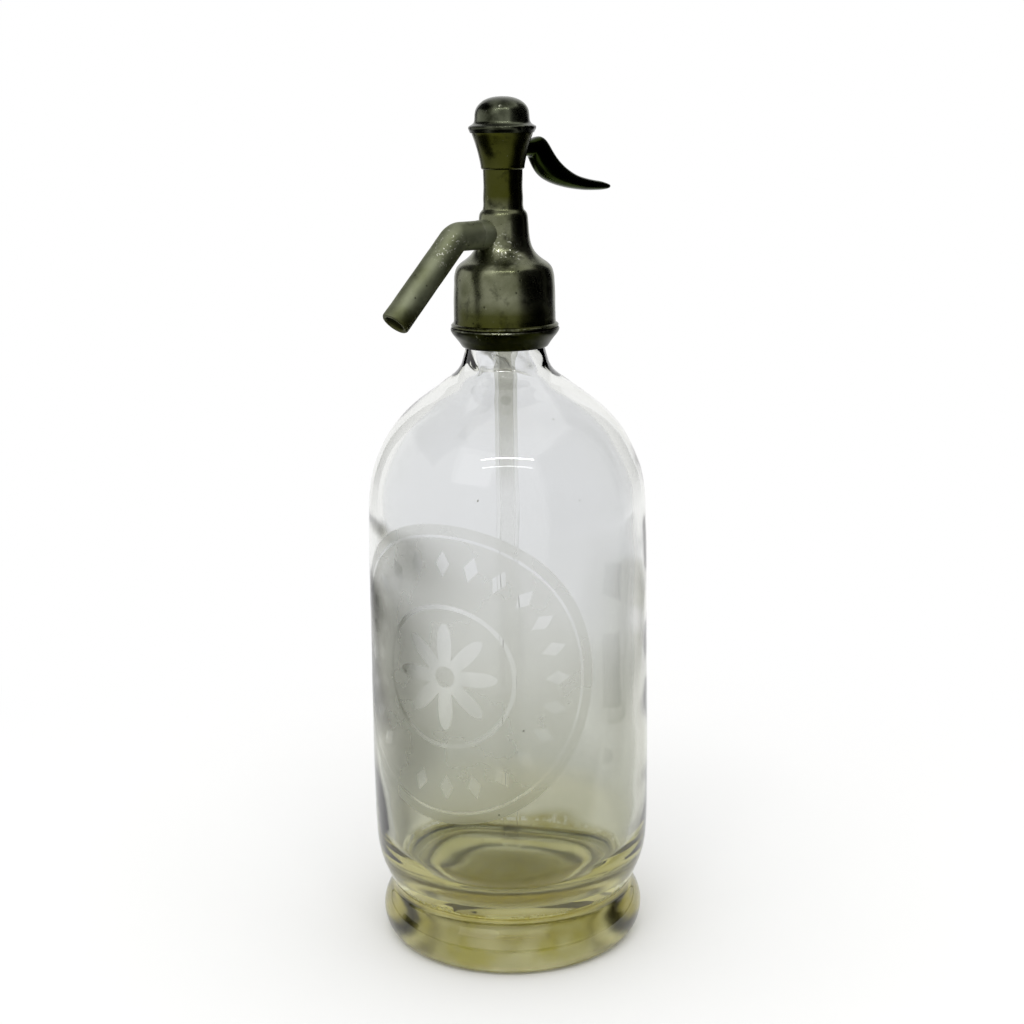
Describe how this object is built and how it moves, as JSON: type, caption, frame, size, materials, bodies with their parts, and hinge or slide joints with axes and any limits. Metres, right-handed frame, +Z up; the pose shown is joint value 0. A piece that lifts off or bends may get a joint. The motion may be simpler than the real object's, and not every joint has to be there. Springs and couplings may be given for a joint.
{
  "type": "soda siphon",
  "caption": "Refillable soda siphon: heavy glass bottle with a waisted foot, screwed metal head, thumb lever that lifts a sprung valve, and a bent spout.",
  "frame": {"origin": "centre of the bottle's foot, on the surface that it stands on", "axes": "+Z up the bottle's axis, -X towards the spout, +X towards the lever"},
  "size_m": [0.1052, 0.1048, 0.3135],
  "materials": {
    "glass": "thick clear moulded glass with a faint grey tint, small bubbles and a chipped heel lip",
    "tube_glass": "drawn clear glass tube",
    "head_pewter": "tarnished pewter, dark olive grey, satin and rubbed bright on its edges",
    "collar_pewter": "tarnished pewter, near black with worn speckles",
    "spout_pewter": "worn pewter, lighter grey green and satin, speckled near the bend",
    "cap_pewter": "dark pewter with a scratched grey dome and a nicked rim",
    "lever_pewter": "dark pewter, satin, rubbed where the thumb presses",
    "brass": "turned and dull",
    "steel": "drawn wire and rod",
    "rubber": "matte",
    "leather": "pressed and greased",
    "vulcanite": "turned hard rubber, slightly glossy"
  },
  "bodies": {
    "bottle": {"bottle_foot": "glass", "bottle_wall": "glass", "bottle_shoulder": "glass", "bottle_neck": "glass", "dip_tube": "tube_glass", "collar_half_left": "collar_pewter", "collar_half_right": "collar_pewter", "neck_washer": "rubber", "tube_grommet": "rubber", "tube_nut": "brass", "valve_seat": "vulcanite", "head_casting": "head_pewter", "spout": "spout_pewter", "cap": "cap_pewter", "cap_washer": "leather", "lever_pin": "steel", "return_spring": "steel"},
    "lever": {"lever": "lever_pewter"},
    "piston": {"piston_spindle": "brass", "cup_seal": "leather", "valve_holder": "brass", "valve_washer": "rubber", "valve_screw": "brass"}
  },
  "joints": [
    {"name": "lever_pivot", "type": "hinge", "parent": "bottle", "child": "lever", "pos_m": [0.0072, 0, 0.2954], "axis": [0, 1, 0], "range_deg": [0, 15], "stiffness_Nm_per_rad": 0.2, "springref_deg": -34.38},
    {"name": "piston_slide", "type": "slide", "parent": "bottle", "child": "piston", "axis": [0, 0, 1], "range_m": [0, 0.0019], "deforming": ["return_spring"]}
  ],
  "couplings": [
    {"joint": "piston_slide", "follows": "lever_pivot", "m_per_rad": 0.0072}
  ]
}
